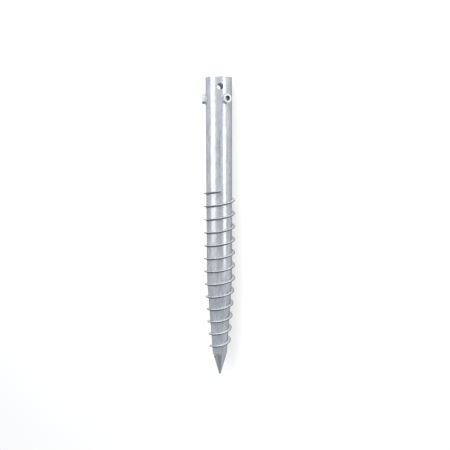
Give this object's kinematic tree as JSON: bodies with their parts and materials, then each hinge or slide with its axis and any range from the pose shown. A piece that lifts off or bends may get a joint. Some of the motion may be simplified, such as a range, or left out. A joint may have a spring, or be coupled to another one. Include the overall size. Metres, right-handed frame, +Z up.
{
  "type": "foundation ground screw",
  "caption": "Steel tube with a closed tapering point and a helical flight, screwed into soil to carry a post clamped in its open head.",
  "frame": {"origin": "on the floor under the middle of the screw, which lies at rest on one clamp nut and its flight", "axes": "+Z up, +Y along the screw towards its open head, +X to the right seen from above with the head away"},
  "size_m": [0.0952, 0.9001, 0.0945],
  "materials": {
    "galvanized_tube": "hot-dip galvanized steel, bright and slightly mottled",
    "galvanized_flight": "hot-dip galvanized steel strip, satin",
    "galvanized_nut": "hot-dip galvanized steel nut, satin",
    "galvanized_weld": "galvanized weld bead, rippled"
  },
  "bodies": {
    "root": {"shaft_tube": "galvanized_tube", "helix_flight": "galvanized_flight", "clamp_nut_1": "galvanized_nut", "clamp_nut_2": "galvanized_nut", "clamp_nut_3": "galvanized_nut", "nut_weld_1": "galvanized_weld", "nut_weld_2": "galvanized_weld", "nut_weld_3": "galvanized_weld"}
  },
  "joints": []
}
